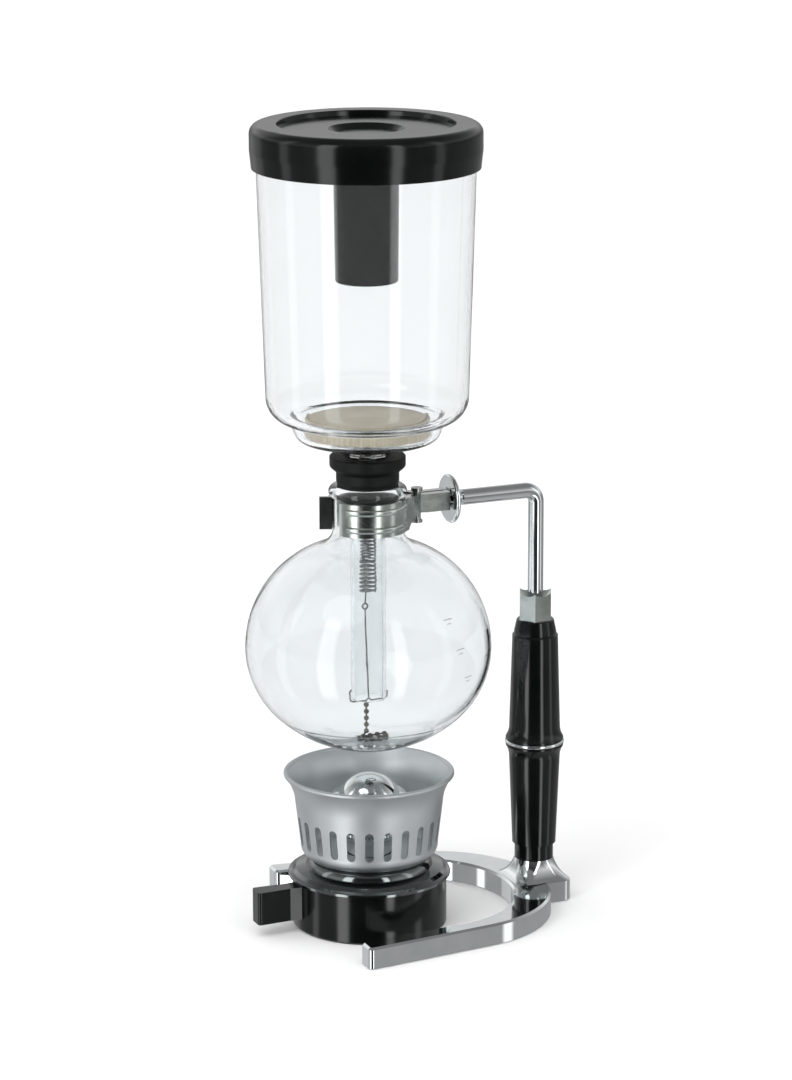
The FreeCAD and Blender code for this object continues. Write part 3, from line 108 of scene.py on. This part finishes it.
class Look:
    """One material: its principled shader and short calls for the nodes that feed it."""

    def __init__(self, name, **sockets):
        self.material = bpy.data.materials.new(name)
        self.material.use_nodes = True
        self.tree = self.material.node_tree
        self.shader = self.tree.nodes["Principled BSDF"]
        for socket, value in sockets.items():
            self.shader.inputs[socket.replace("_", " ")].default_value = value
        coordinates = self.node("ShaderNodeTexCoord")
        self.place = coordinates.outputs["Object"]

    def node(self, kind, **settings):
        node = self.tree.nodes.new(kind)
        for key, value in settings.items():
            setattr(node, key, value)
        return node

    def link(self, output, target):
        self.tree.links.new(output, target)

    def stretched(self, x, y, z):
        """Object coordinates in metres, times a factor along each axis."""
        mapping = self.node("ShaderNodeMapping")
        mapping.inputs["Scale"].default_value = (x, y, z)
        self.link(self.place, mapping.inputs["Vector"])
        return mapping.outputs["Vector"]

    def noise(self, scale, detail=2.0, vector=None):
        noise = self.node("ShaderNodeTexNoise")
        noise.inputs["Scale"].default_value = scale
        noise.inputs["Detail"].default_value = detail
        self.link(vector or self.place, noise.inputs["Vector"])
        return noise.outputs["Fac"]

    def bands(self, scale, direction, distortion=0.0, vector=None):
        """Parallel waves along one axis; scale is per metre."""
        wave = self.node("ShaderNodeTexWave", bands_direction=direction)
        wave.inputs["Scale"].default_value = scale
        wave.inputs["Distortion"].default_value = distortion
        wave.inputs["Detail Scale"].default_value = 1.5
        self.link(vector or self.place, wave.inputs["Vector"])
        return wave.outputs["Fac"]

    def math(self, operation, first, second):
        node = self.node("ShaderNodeMath", operation=operation)
        for slot, value in enumerate((first, second)):
            if isinstance(value, (int, float)):
                node.inputs[slot].default_value = value
            else:
                self.link(value, node.inputs[slot])
        return node.outputs["Value"]

    def spread(self, value, low, high):
        """Maps 0..1 to low..high."""
        node = self.node("ShaderNodeMapRange")
        node.inputs["To Min"].default_value = low
        node.inputs["To Max"].default_value = high
        self.link(value, node.inputs["Value"])
        return node.outputs["Result"]

    def colours(self, value, *stops):
        """A colour ramp on the base colour, from (position, (r, g, b)) stops."""
        ramp = self.node("ShaderNodeValToRGB")
        elements = ramp.color_ramp.elements
        while len(elements) < len(stops):
            elements.new(0.5)
        for element, (position, colour) in zip(elements, stops):
            element.position = position
            element.color = (*colour, 1.0)
        self.link(value, ramp.inputs["Fac"])
        self.link(ramp.outputs["Color"], self.shader.inputs["Base Color"])

    def roughness(self, value, low, high):
        self.link(self.spread(value, low, high), self.shader.inputs["Roughness"])

    def bump(self, height, strength, depth):
        """Bump; depth is the real height of the relief in metres."""
        bump = self.node("ShaderNodeBump")
        bump.inputs["Strength"].default_value = strength
        bump.inputs["Distance"].default_value = depth
        self.link(height, bump.inputs["Height"])
        self.link(bump.outputs["Normal"], self.shader.inputs["Normal"])


def chrome_look(name, dark, light):
    """Nickel-chrome plate: faintly rippled, with fine handling haze."""
    look = Look(name, Metallic=1.0)
    haze = look.noise(90, 4)
    look.colours(haze, (0.3, dark), (0.7, light))
    look.roughness(haze, 0.03, 0.085)
    look.bump(look.noise(60, 2), 0.12, 0.0002)
    return look.material


def clamp_look():
    """Pressed and plated strip: a little duller and greener than the rod."""
    look = Look("clamp_plate", Metallic=1.0)
    haze = look.noise(140, 5)
    look.colours(haze, (0.3, (0.42, 0.46, 0.44)), (0.7, (0.56, 0.60, 0.575)))
    look.roughness(haze, 0.16, 0.30)
    look.bump(look.noise(160, 3), 0.25, 0.00025)
    return look.material


def steel_look(name, dark, light, low, high):
    """Drawn wire and turned pieces, with fine turning lines across their own axis."""
    look = Look(name, Metallic=1.0)
    lines = look.noise(9, 3, look.stretched(30, 30, 500))
    look.colours(look.noise(300, 3), (0.3, dark), (0.7, light))
    look.roughness(lines, low, high)
    look.bump(lines, 0.15, 0.00005)
    return look.material


def aluminium_look():
    """Spun aluminium: level lines round the piece under a soft satin."""
    look = Look("satin_aluminium", Metallic=1.0)
    lines = look.noise(6, 4, look.stretched(4, 4, 420))
    blotches = look.noise(35, 3)
    look.colours(blotches, (0.3, (0.63, 0.665, 0.68)), (0.7, (0.72, 0.75, 0.765)))
    look.roughness(lines, 0.42, 0.56)
    look.bump(lines, 0.35, 0.00006)
    return look.material


def black_look(name, ripple, gloss):
    """Glossy moulded phenolic plastic with a trace of flow marks."""
    look = Look(name, IOR=1.5, Specular_IOR_Level=gloss)
    flow = look.noise(45, 4)
    look.colours(flow, (0.3, (0.0012, 0.0022, 0.0019)), (0.7, (0.0036, 0.0052, 0.0046)))
    look.roughness(flow, 0.09, 0.19)
    look.bump(look.noise(ripple, 2), 0.10, 0.0003)
    return look.material


def rubber_look():
    look = Look("black_rubber", IOR=1.5, Specular_IOR_Level=0.22)
    grain = look.noise(900, 4)
    look.colours(look.noise(120, 4), (0.3, (0.0022, 0.0030, 0.0028)), (0.7, (0.0070, 0.0082, 0.0078)))
    look.roughness(grain, 0.42, 0.62)
    look.bump(grain, 0.30, 0.00012)
    return look.material


def glass_look(name, tint, ripple):
    """Blown borosilicate glass, whose walls wave a little where the tube was drawn."""
    look = Look(name, Transmission_Weight=1.0, IOR=1.47, Specular_IOR_Level=0.34)
    wave = look.noise(ripple, 2)
    look.colours(wave, (0.3, tint), (0.7, tuple(min(1.0, c + 0.012) for c in tint)))
    look.roughness(look.noise(60, 2), 0.0, 0.012)
    look.bump(wave, 0.20, 0.0006)
    return look.material


def ink_look():
    """Fired enamel of the level marks."""
    look = Look("level_enamel", IOR=1.5)
    patches = look.noise(2500, 3)
    look.colours(patches, (0.35, (0.33, 0.35, 0.34)), (0.65, (0.46, 0.48, 0.47)))
    look.roughness(patches, 0.35, 0.55)
    return look.material


def cloth_look():
    """Brushed cotton flannel: a fine plain weave under a soft nap."""
    look = Look("filter_cloth", IOR=1.45, Sheen_Weight=0.45, Sheen_Roughness=0.5)
    threads = 1100
    warp = look.bands(threads / math.tau, "X", 1.2)
    weft = look.bands(threads / math.tau, "Y", 1.2)
    weave = look.math("MULTIPLY", warp, weft)
    nap = look.noise(1500, 5)
    height = look.math("ADD", look.math("MULTIPLY", nap, 0.7), weave)
    tone = look.math("ADD", look.math("MULTIPLY", look.noise(70, 4), 0.7),
                     look.math("MULTIPLY", weave, 0.3))
    look.colours(tone, (0.15, (0.50, 0.43, 0.31)), (0.55, (0.66, 0.59, 0.45)),
                 (0.9, (0.75, 0.69, 0.55)))
    look.roughness(nap, 0.80, 0.98)
    look.bump(height, 0.55, 0.0003)
    return look.material


def wick_look():
    look = Look("wick_cotton", IOR=1.45, Sheen_Weight=0.4)
    strands = look.noise(8, 4, look.stretched(260, 260, 60))
    look.colours(strands, (0.3, (0.55, 0.52, 0.44)), (0.7, (0.80, 0.78, 0.70)))
    look.roughness(strands, 0.80, 0.95)
    look.bump(strands, 0.6, 0.0004)
    return look.material


CHROME = chrome_look("chrome", (0.74, 0.78, 0.785), (0.82, 0.85, 0.855))
# The burner cover's chrome gets a very dark base colour: a painted dark reflection of the
# surroundings that the plate mirrors, not a darker metal.
CHROME_PAINTED_DARK_REFLECTION = chrome_look("chrome_painted_dark_reflection", (0.15, 0.165, 0.165), (0.21, 0.225, 0.225))
CLAMP = clamp_look()
STEEL = steel_look("bright_steel", (0.30, 0.30, 0.29), (0.46, 0.46, 0.45), 0.16, 0.32)
CHAIN_STEEL = steel_look("chain_steel", (0.10, 0.085, 0.07), (0.24, 0.215, 0.185), 0.20, 0.38)
ALUMINIUM = aluminium_look()
LID_BLACK = black_look("lid_black", 30, 0.32)
TUBE_BLACK = black_look("tube_black", 40, 0.07)
HANDLE_BLACK = black_look("handle_black", 90, 0.45)
RUBBER = rubber_look()
UPPER_GLASS = glass_look("upper_glass", (0.922, 0.938, 0.944), 18)
LOWER_GLASS = glass_look("lower_glass", (0.888, 0.908, 0.918), 26)
CLOTH = cloth_look()
WICK = wick_look()
ENAMEL = ink_look()

NODE_LOOKS = {
    "lid_cap": LID_BLACK,
    "lid_stand_tube": TUBE_BLACK,
    "upper_bowl": UPPER_GLASS,
    "rubber_stopper": RUBBER,
    "lower_bowl": LOWER_GLASS,
    "clamp_front_jaw": CLAMP,
    "clamp_rear_jaw": CLAMP,
    "clamp_pin": STEEL,
    "arm_stud": CHROME,
    "lock_nut": CHROME,
    "support_rod": CHROME,
    "handle_collar": CLAMP,
    "handle_upper_grip": HANDLE_BLACK,
    "handle_ring": CHROME,
    "handle_lower_grip": HANDLE_BLACK,
    "base_frame": CHROME,
    "base_pads": RUBBER,
    "base_nut": STEEL,
    "burner_housing": HANDLE_BLACK,
    "burner_cover": CHROME_PAINTED_DARK_REFLECTION,
    "fuel_tank": STEEL,
    "wick_holder": CHROME,
    "wick": WICK,
    "windshield": ALUMINIUM,
    "snuffer_cap": CHROME,
    "filter_cloth": CLOTH,
    "filter_lower_plate": STEEL,
    "filter_upper_plate": STEEL,
    "filter_bolt": STEEL,
    "filter_spring": STEEL,
    "filter_wire": CHAIN_STEEL,
    "filter_hook": STEEL,
    "bead_chain": CHAIN_STEEL,
}


# ---------------------------------------------------------------- meshes


def new_piece(name, mesh, material, body):
    """A finished piece that rides on a body, if one is named."""
    piece = bpy.data.objects.new(name, mesh)
    bpy.context.scene.collection.objects.link(piece)
    mesh.materials.append(material)
    mesh.shade_smooth()
    if body:
        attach(piece, body)
    return piece


def dress_cad_nodes():
    """Every carried-over CAD node gets its material."""
    for name, look in NODE_LOOKS.items():
        node = NODES[name]
        node.data.materials.clear()
        node.data.materials.append(look)


def clear_shadows_of_glass():
    """Clear glass hardly shades what is in it, so it is left out of the shadows."""
    for name in ("upper_bowl", "lower_bowl"):
        NODES[name].visible_shadow = False


# ---------------------------------------------------------------- filter


def cloth_mesh():
    """The cotton bag stretched over the plates: crowned on top, puckered round the side and
    gathered underneath by its drawstring."""
    low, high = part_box("filter_cloth")
    radius = high.x
    height = high.z - low.z
    corner = 2.2 * MM
    opening = 11 * MM
    around = 288
    gathers = 36
    fine_gathers = 61
    crown = 0.25 * MM
    pleat_depth = 0.16 * MM
    pleat_lift = 0.22 * MM
    # The bag's section from the top's centre out, down the side and in to the gathered mouth:
    # (radius, height, how far it is gathered).
    flat = radius * 0.97
    section = [(flat * k / 14, height - crown * (k / 14) ** 2, 0.0) for k in range(15)]
    for k in range(1, 9):
        angle = math.pi / 2 * (1 - k / 8)
        section.append((radius - corner + corner * math.cos(angle),
                        height - crown - corner + corner * math.sin(angle), 0.25 * k / 8))
    side_top = height - crown - corner
    for k in range(1, 5):
        section.append((radius - 0.1 * MM, side_top - (height - 2 * corner) * k / 5, 0.6))
    for k in range(1, 9):
        angle = math.pi / 2 * k / 8
        section.append((radius - corner + corner * math.cos(angle),
                        corner - corner * math.sin(angle), 0.6 + 0.4 * k / 8))
    for k in range(1, 11):
        share = k / 10
        section.append((radius - corner - (radius - corner - opening) * share, 0.0, 1.0))
    section.append((opening, 0.7 * MM, 1.0))
    rng = random.Random(SEED)
    phases = [rng.uniform(0, math.tau) for _ in range(3)]
    mesh = bpy.data.meshes.new("cloth")
    shell = bmesh.new()
    rings = []
    for r, z, pucker in section[1:]:
        ring = []
        for step in range(around):
            angle = math.tau * step / around
            fold = math.sin(gathers * angle + phases[0] + 0.8 * math.sin(3 * angle + phases[1]))
            fold += 0.5 * math.sin(fine_gathers * angle + phases[2])
            inward = pucker * pleat_depth * (1 + fold)
            lift = pucker * pleat_lift * (1 + fold) if z < corner else 0.0
            ring.append(shell.verts.new(((r - inward) * math.cos(angle),
                                         (r - inward) * math.sin(angle), low.z + z + lift)))
        rings.append(ring)
    centre = shell.verts.new((0, 0, low.z + section[0][1]))
    for step in range(around):
        shell.faces.new((centre, rings[0][step], rings[0][(step + 1) % around]))
    for ring, below in zip(rings, rings[1:]):
        for step in range(around):
            after = (step + 1) % around
            shell.faces.new((ring[step], below[step], below[after], ring[after]))
    bmesh.ops.recalc_face_normals(shell, faces=shell.faces)
    shell.to_mesh(mesh)
    shell.free()
    return mesh


def tube_along(name, points, radius, sides=10):
    """A closed round tube through the points, with capped ends."""
    # No stretch of the tube runs along this direction.
    unlike = Vector((0.123, 0.456, 0.881))
    mesh = bpy.data.meshes.new(name)
    shell = bmesh.new()
    rings = []
    for index, point in enumerate(points):
        ahead = points[min(index + 1, len(points) - 1)]
        behind = points[max(index - 1, 0)]
        along = (ahead - behind).normalized()
        side = along.cross(unlike).normalized()
        other = along.cross(side)
        rings.append([
            shell.verts.new(point + radius * (math.cos(a) * side + math.sin(a) * other))
            for a in (math.tau * k / sides for k in range(sides))
        ])
    for ring, after in zip(rings, rings[1:]):
        for k in range(sides):
            shell.faces.new((ring[k], ring[(k + 1) % sides], after[(k + 1) % sides], after[k]))
    shell.faces.new(rings[0])
    shell.faces.new(list(reversed(rings[-1])))
    bmesh.ops.recalc_face_normals(shell, faces=shell.faces)
    shell.to_mesh(mesh)
    shell.free()
    return mesh


def make_filter():
    cloth = new_piece("filter_cloth_bag", cloth_mesh(), CLOTH, "filter")
    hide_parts("filter_cloth")


def make_spring():
    """The coil spring, tied to the chamber at its foot and to the filter at its top."""
    low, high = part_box("filter_spring")
    wire = 0.5 * MM
    coil = high.x - wire
    turns = 36
    steps = 28
    foot, top = low.z + wire, high.z - wire
    points = []
    for k in range(turns * steps + 1):
        angle = math.tau * k / steps
        share = k / (turns * steps)
        points.append(Vector((coil * math.cos(angle), coil * math.sin(angle),
                              foot + (top - foot) * share)))
    spring = new_piece("filter_coil_spring", tube_along("spring", points, wire, 8), STEEL,
                       None)
    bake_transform(spring)
    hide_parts("filter_spring")


# ---------------------------------------------------------------- level marks


def surface_of(node):
    """A ray caster on a CAD node's outer surface: (angle, height) to a point and its normal."""
    far = 0.2
    tree = BVHTree.FromPolygons([v.co for v in NODES[node].data.vertices],
                                [p.vertices for p in NODES[node].data.polygons])

    def touch(angle, height):
        outward = Vector((math.cos(angle), math.sin(angle), 0))
        point, normal, _, _ = tree.ray_cast(outward * far + Vector((0, 0, height)), -outward)
        return point, normal

    return touch


def wrapped(name, polygons, angle, height, touch):
    """Flat polygons laid on the bowl round a point, a hair proud of the glass."""
    radius = touch(angle, height)[0].xy.length
    proud = 0.06 * MM
    shell = bmesh.new()
    for polygon in polygons:
        corners = []
        for across, up in polygon:
            point, normal = touch(angle + across / radius, height + up)
            corners.append(shell.verts.new(point + normal * proud))
        shell.faces.new(corners)
    mesh = bpy.data.meshes.new(name)
    shell.to_mesh(mesh)
    shell.free()
    return mesh


def dash(x0, x1, y, thickness, pieces=8):
    """A short level stroke as a row of small quads, so that it can follow the bowl."""
    width = (x1 - x0) / pieces
    return [[(x0 + width * k, y - thickness / 2), (x0 + width * (k + 1), y - thickness / 2),
             (x0 + width * (k + 1), y + thickness / 2), (x0 + width * k, y + thickness / 2)]
            for k in range(pieces)]


def make_level_marks():
    """Plain level strokes on the bowl, a long one with a short one under it at each level."""
    touch = surface_of("lower_bowl")
    angle = math.radians(CAMERA_AZIMUTH - 90 + MARKS_TURN)
    for name, height, turn in LEVEL_MARKS:
        strokes = dash(-2.6 * MM, 2.6 * MM, 0, 0.45 * MM)
        strokes += dash(-1.4 * MM, 1.4 * MM, -1.9 * MM, 0.35 * MM)
        mesh = wrapped(f"level_{name}", strokes, angle + math.radians(turn), height * MM, touch)
        new_piece(f"level_mark_{name}", mesh, ENAMEL, "stand")


# ---------------------------------------------------------------- stage, lights and camera


def make_floor():
    mesh = bpy.data.meshes.new("floor")
    disc = bmesh.new()
    bmesh.ops.create_circle(disc, cap_ends=True, segments=96, radius=FLOOR_RADIUS)
    disc.to_mesh(mesh)
    disc.free()
    floor = bpy.data.objects.new("floor", mesh)
    bpy.context.scene.collection.objects.link(floor)
    look = Look("pale_floor")
    mottle = look.noise(3, 3)
    look.colours(mottle, (0.3, (0.90, 0.90, 0.90)), (0.7, (0.92, 0.92, 0.92)))
    look.roughness(mottle, 0.75, 0.9)
    mesh.materials.append(look.material)
    floor.visible_glossy = False


class StudioNodes:
    """Short calls for the number nodes of the studio's shaders."""

    def __init__(self, tree):
        self.tree = tree

    def value(self, operation, *operands):
        node = self.tree.nodes.new("ShaderNodeMath")
        node.operation = operation
        for slot, operand in enumerate(operands):
            if isinstance(operand, (int, float)):
                node.inputs[slot].default_value = operand
            else:
                self.tree.links.new(operand, node.inputs[slot])
        return node.outputs["Value"]

    def turned_axes(self, direction):
        """The direction's x to the camera's right, y away from the camera, and z up."""
        turn = self.tree.nodes.new("ShaderNodeMapping")
        turn.inputs["Rotation"].default_value = (0, 0, -math.radians(CAMERA_AZIMUTH))
        split = self.tree.nodes.new("ShaderNodeSeparateXYZ")
        self.tree.links.new(direction, turn.inputs["Vector"])
        self.tree.links.new(turn.outputs["Vector"], split.inputs["Vector"])
        return [split.outputs[axis] for axis in "XYZ"]

    def fade(self, value, full, none):
        """1 where the value is at full, falling smoothly to 0 at none."""
        node = self.tree.nodes.new("ShaderNodeMapRange")
        node.interpolation_type = "SMOOTHSTEP"
        node.inputs["From Min"].default_value = full
        node.inputs["From Max"].default_value = none
        node.inputs["To Min"].default_value = 1
        node.inputs["To Max"].default_value = 0
        self.tree.links.new(value, node.inputs["Value"])
        return node.outputs["Result"]

    def gradient(self, value, stops):
        """A grey level for each value from 0 to 1."""
        ramp = self.tree.nodes.new("ShaderNodeValToRGB")
        elements = ramp.color_ramp.elements
        while len(elements) < len(stops):
            elements.new(0.5)
        for element, (position, level) in zip(elements, stops):
            element.position = position
            element.color = (level, level, level, 1.0)
        self.tree.links.new(value, ramp.inputs["Fac"])
        return ramp.outputs["Color"]


def make_backdrop():
    """A dome beyond the floor, which only the view and clear glass see. It is white behind the
    object and fades to grey at both sides."""
    mesh = bpy.data.meshes.new("backdrop")
    dome = bmesh.new()
    bmesh.ops.create_uvsphere(dome, u_segments=64, v_segments=32, radius=FLOOR_RADIUS)
    bmesh.ops.reverse_faces(dome, faces=dome.faces)
    dome.to_mesh(mesh)
    dome.free()
    backdrop = bpy.data.objects.new("backdrop", mesh)
    bpy.context.scene.collection.objects.link(backdrop)
    look = Look("white_backdrop")
    look.shader.inputs["Base Color"].default_value = (0, 0, 0, 1)
    look.shader.inputs["Emission Color"].default_value = (1, 1, 1, 1)
    tree = look.material.node_tree
    nodes = StudioNodes(tree)
    coordinates = tree.nodes.new("ShaderNodeTexCoord")
    x, y, _ = nodes.turned_axes(coordinates.outputs["Object"])
    around = nodes.value("ABSOLUTE", nodes.value("ARCTAN2", x, y))
    behind = nodes.fade(around, *map(math.radians, BACKDROP_FADE))
    level = nodes.value("ADD", BACKDROP_SIDES, nodes.value("MULTIPLY", behind, 1 - BACKDROP_SIDES))
    tree.links.new(nodes.value("MULTIPLY", level, BACKDROP_LEVEL),
                   look.shader.inputs["Emission Strength"])
    mesh.materials.append(look.material)
    backdrop.visible_glossy = False
    backdrop.visible_diffuse = False
    backdrop.visible_shadow = False


def make_ceiling_light():
    """Very soft light from above keeps the floor white; polished pieces do not mirror it."""
    data = bpy.data.lights.new("ceiling", "SUN")
    data.energy = CEILING_STRENGTH
    data.angle = math.radians(CEILING_SPREAD)
    light = bpy.data.objects.new("ceiling", data)
    light.rotation_euler = (*map(math.radians, CEILING_TILT), 0)
    light.visible_glossy = False
    bpy.context.scene.collection.objects.link(light)


def make_key_light():
    """One broad soft light over the camera's left shoulder models the matte pieces."""
    data = bpy.data.lights.new("key", "AREA")
    data.shape = "DISK"
    data.size = KEY_SIZE
    data.energy = KEY_POWER
    light = bpy.data.objects.new("key", data)
    angle = math.radians(CAMERA_AZIMUTH + KEY_TURN)
    light.location = (KEY_DISTANCE * math.sin(angle), -KEY_DISTANCE * math.cos(angle), KEY_HEIGHT)
    toward = Vector((0, 0, KEY_TARGET_HEIGHT)) - light.location
    light.rotation_euler = toward.to_track_quat("-Z", "Y").to_euler()
    light.visible_camera = False
    light.visible_glossy = False
    bpy.context.scene.collection.objects.link(light)


def make_world():
    """The room that polished pieces mirror: dim, with a bright band just above the horizon, a
    dark end behind the camera, two upright softboxes beside it and fainter ones further round."""
    world = bpy.data.worlds.new("studio")
    bpy.context.scene.world = world
    world.use_nodes = True
    tree = world.node_tree
    nodes = StudioNodes(tree)
    coordinates = tree.nodes.new("ShaderNodeTexCoord")
    x, y, z = nodes.turned_axes(coordinates.outputs["Generated"])

    # How far round from the camera's own side a direction lies, to the right and either way.
    azimuth = nodes.value("ARCTAN2", x, nodes.value("MULTIPLY", y, -1))
    around = nodes.value("ABSOLUTE", azimuth)
    height = nodes.value("ADD", nodes.value("MULTIPLY", z, 0.5), 0.5)
    ambient = nodes.gradient(height, ROOM_LEVELS)
    full, none = UPRIGHT_FADE
    upright = nodes.value("MULTIPLY", nodes.fade(z, full, none), nodes.fade(z, -full, -none))
    dark = nodes.value("MULTIPLY", nodes.fade(around, *map(math.radians, DARK_END)), upright)
    lit = nodes.value("SUBTRACT", 1, nodes.value("MULTIPLY", dark, DARK_SHARE))
    total = nodes.value("MULTIPLY", ambient, lit)
    inside, outside = SOFTBOX_EDGE
    for centre, half, level in SOFTBOXES:
        away = nodes.value("ABSOLUTE", nodes.value("SUBTRACT", azimuth, math.radians(centre)))
        strip = nodes.fade(away, math.radians(half - inside), math.radians(half + outside))
        glow = nodes.value("MULTIPLY", nodes.value("MULTIPLY", strip, upright), level)
        total = nodes.value("ADD", total, glow)
    background = tree.nodes["Background"]
    background.inputs["Color"].default_value = (1, 1, 1, 1)
    tree.links.new(total, background.inputs["Strength"])


def make_camera():
    azimuth = math.radians(CAMERA_AZIMUTH)
    data = bpy.data.cameras.new("camera")
    data.lens = CAMERA_LENS
    camera = bpy.data.objects.new("camera", data)
    place = Vector((CAMERA_DISTANCE * math.sin(azimuth), -CAMERA_DISTANCE * math.cos(azimuth),
                    CAMERA_HEIGHT))
    turn = Matrix.Rotation(azimuth - math.radians(CAMERA_YAW), 4, "Z")
    turn @= Matrix.Rotation(math.radians(90 - CAMERA_PITCH), 4, "X")
    turn @= Matrix.Rotation(math.radians(CAMERA_ROLL), 4, "Z")
    camera.matrix_world = Matrix.Translation(place) @ turn
    bpy.context.scene.collection.objects.link(camera)
    bpy.context.scene.camera = camera


dress_cad_nodes()
clear_shadows_of_glass()
make_filter()
make_spring()
make_level_marks()
make_floor()
make_backdrop()
make_ceiling_light()
make_key_light()
make_world()
make_camera()
bpy.context.scene.view_settings.view_transform = "Standard"
